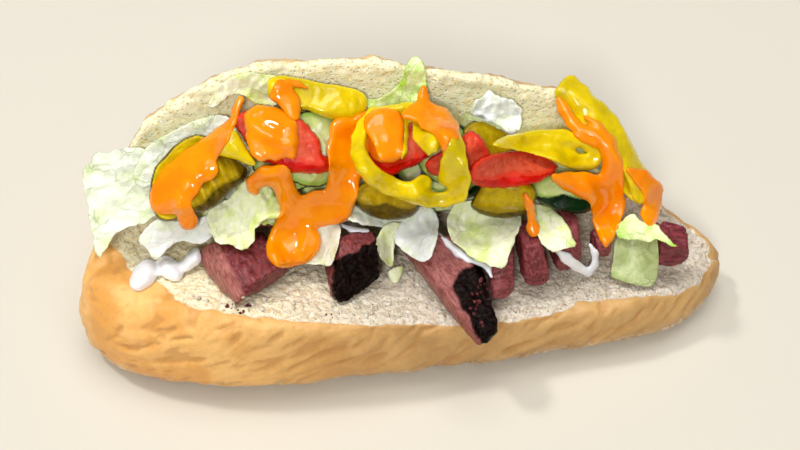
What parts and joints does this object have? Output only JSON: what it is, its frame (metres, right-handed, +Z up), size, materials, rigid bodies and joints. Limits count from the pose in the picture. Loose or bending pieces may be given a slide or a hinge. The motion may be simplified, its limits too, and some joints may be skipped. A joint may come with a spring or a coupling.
{
  "type": "submarine sandwich",
  "caption": "Long crusty roll, opened on its hinge and filled with roast meat chunks, lettuce, pickle, cucumber and tomato slices, yellow pepper rings, mayonnaise and poured orange sauce.",
  "frame": {"origin": "on the flat base of the roll, under the middle of the opening", "axes": "+X along the roll, to the right as seen from the open side; +Y from the open side towards the hinge; +Z up"},
  "size_m": [0.2245, 0.0936, 0.0912],
  "materials": {
    "roll": "matte",
    "meat": "satin",
    "lettuce": "satin",
    "pickle": "gloss",
    "cucumber": "satin",
    "tomato": "gloss",
    "pepper": "gloss",
    "sauce": "gloss",
    "mayonnaise": "gloss"
  },
  "bodies": {
    "root": {"cucumber_a": "cucumber", "cucumber_b": "cucumber", "cucumber_c": "cucumber", "cucumber_d": "cucumber", "cucumber_e": "cucumber", "cucumber_f": "cucumber", "leaf_behind_sauce": "lettuce", "leaf_broad": "lettuce", "leaf_crumpled_left": "lettuce", "leaf_crumpled_right": "lettuce", "leaf_curl": "lettuce", "leaf_far_left": "lettuce", "leaf_folded": "lettuce", "leaf_hanging": "lettuce", "leaf_left_back": "lettuce", "leaf_pale": "lettuce", "leaf_shreds": "lettuce", "leaf_spire": "lettuce", "leaf_strip_left": "lettuce", "leaf_striped": "lettuce", "leaf_translucent": "lettuce", "lettuce_bed": "lettuce", "mayonnaise_a": "mayonnaise", "mayonnaise_b": "mayonnaise", "mayonnaise_c": "mayonnaise", "mayonnaise_d": "mayonnaise", "meat_a": "meat", "meat_b": "meat", "meat_c": "meat", "meat_d": "meat", "meat_e": "meat", "meat_f": "meat", "meat_g": "meat", "meat_h": "meat", "meat_i": "meat", "pepper_a": "pepper", "pepper_b": "pepper", "pepper_c": "pepper", "pepper_d": "pepper", "pepper_e": "pepper", "pepper_f": "pepper", "pepper_g": "pepper", "pickle_a": "pickle", "pickle_b": "pickle", "pickle_c": "pickle", "pickle_d": "pickle", "pickle_e": "pickle", "roll": "roll", "sauce_a": "sauce", "sauce_b": "sauce", "sauce_c": "sauce", "sauce_d": "sauce", "sauce_e": "sauce", "sauce_f": "sauce", "sauce_g": "sauce", "sauce_h": "sauce", "tomato_a": "tomato", "tomato_b": "tomato", "tomato_c": "tomato", "tomato_d": "tomato"}
  },
  "joints": []
}
